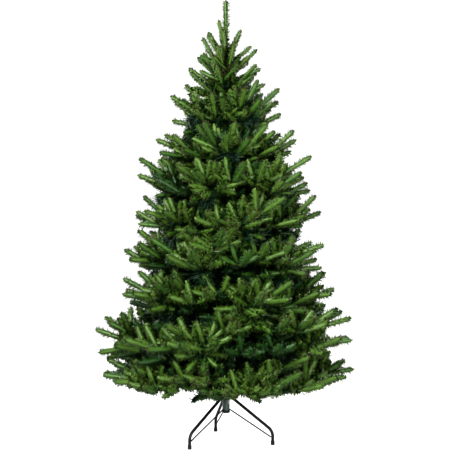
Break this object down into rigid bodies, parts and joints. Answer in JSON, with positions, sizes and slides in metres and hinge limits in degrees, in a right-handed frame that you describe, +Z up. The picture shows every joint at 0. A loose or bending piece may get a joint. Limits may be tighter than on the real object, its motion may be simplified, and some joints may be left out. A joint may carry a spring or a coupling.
{
  "type": "artificial christmas tree",
  "caption": "Full, undecorated artificial Christmas tree with moulded green tips in tiers round a steel pole, on a black folding stand with bent legs.",
  "frame": {"origin": "on the pole's axis, on the floor that the stand's feet rest on", "axes": "+Z up along the pole; -Y towards the viewer's side, +X to the viewer's right"},
  "size_m": [1.2375, 1.2162, 2.1],
  "materials": {
    "needles": "matt moulded and foil needles",
    "wrapped_wire": "matt brown wrap on steel wire",
    "pole": "satin dark green",
    "sleeve": "satin dark green-grey",
    "stand": "satin black powder coat",
    "black_plastic": "matt black",
    "bolts": "dull zinc"
  },
  "bodies": {
    "root": {"bough_1": "wrapped_wire", "bough_2": "wrapped_wire", "bough_3": "wrapped_wire", "bough_4": "wrapped_wire", "bough_5": "wrapped_wire", "crown_top": "needles", "eye_bolt_back": "bolts", "eye_bolt_left": "bolts", "eye_bolt_right": "bolts", "foliage_tier1_1": "needles", "foliage_tier1_2": "needles", "foliage_tier1_3": "needles", "foliage_tier1_4": "needles", "foliage_tier1_5": "needles", "foliage_tier2_1": "needles", "foliage_tier2_2": "needles", "foliage_tier2_3": "needles", "foliage_tier2_4": "needles", "foliage_tier2_5": "needles", "foliage_tier3_1": "needles", "foliage_tier3_2": "needles", "foliage_tier3_3": "needles", "foliage_tier3_4": "needles", "foliage_tier3_5": "needles", "foliage_tier4_1": "needles", "foliage_tier4_2": "needles", "foliage_tier4_3": "needles", "foliage_tier4_4": "needles", "foliage_tier4_5": "needles", "foliage_tier5_1": "needles", "foliage_tier5_2": "needles", "foliage_tier5_3": "needles", "foliage_tier5_4": "needles", "foliage_tier5_5": "needles", "foliage_tier6_1": "needles", "foliage_tier6_2": "needles", "foliage_tier6_3": "needles", "foliage_tier6_4": "needles", "foliage_tier6_5": "needles", "foliage_tier7_1": "needles", "foliage_tier7_2": "needles", "foliage_tier7_3": "needles", "foliage_tier7_4": "needles", "foliage_tier8_1": "needles", "foliage_tier8_2": "needles", "foliage_tier8_3": "needles", "foliage_tier8_4": "needles", "foot_back": "black_plastic", "foot_left": "black_plastic", "foot_right": "black_plastic", "leg_back": "stand", "leg_left": "stand", "leg_right": "stand", "pole_cap": "black_plastic", "stand_sleeve": "sleeve", "strut_back": "stand", "strut_left": "stand", "strut_right": "stand", "trunk": "pole"}
  },
  "joints": []
}
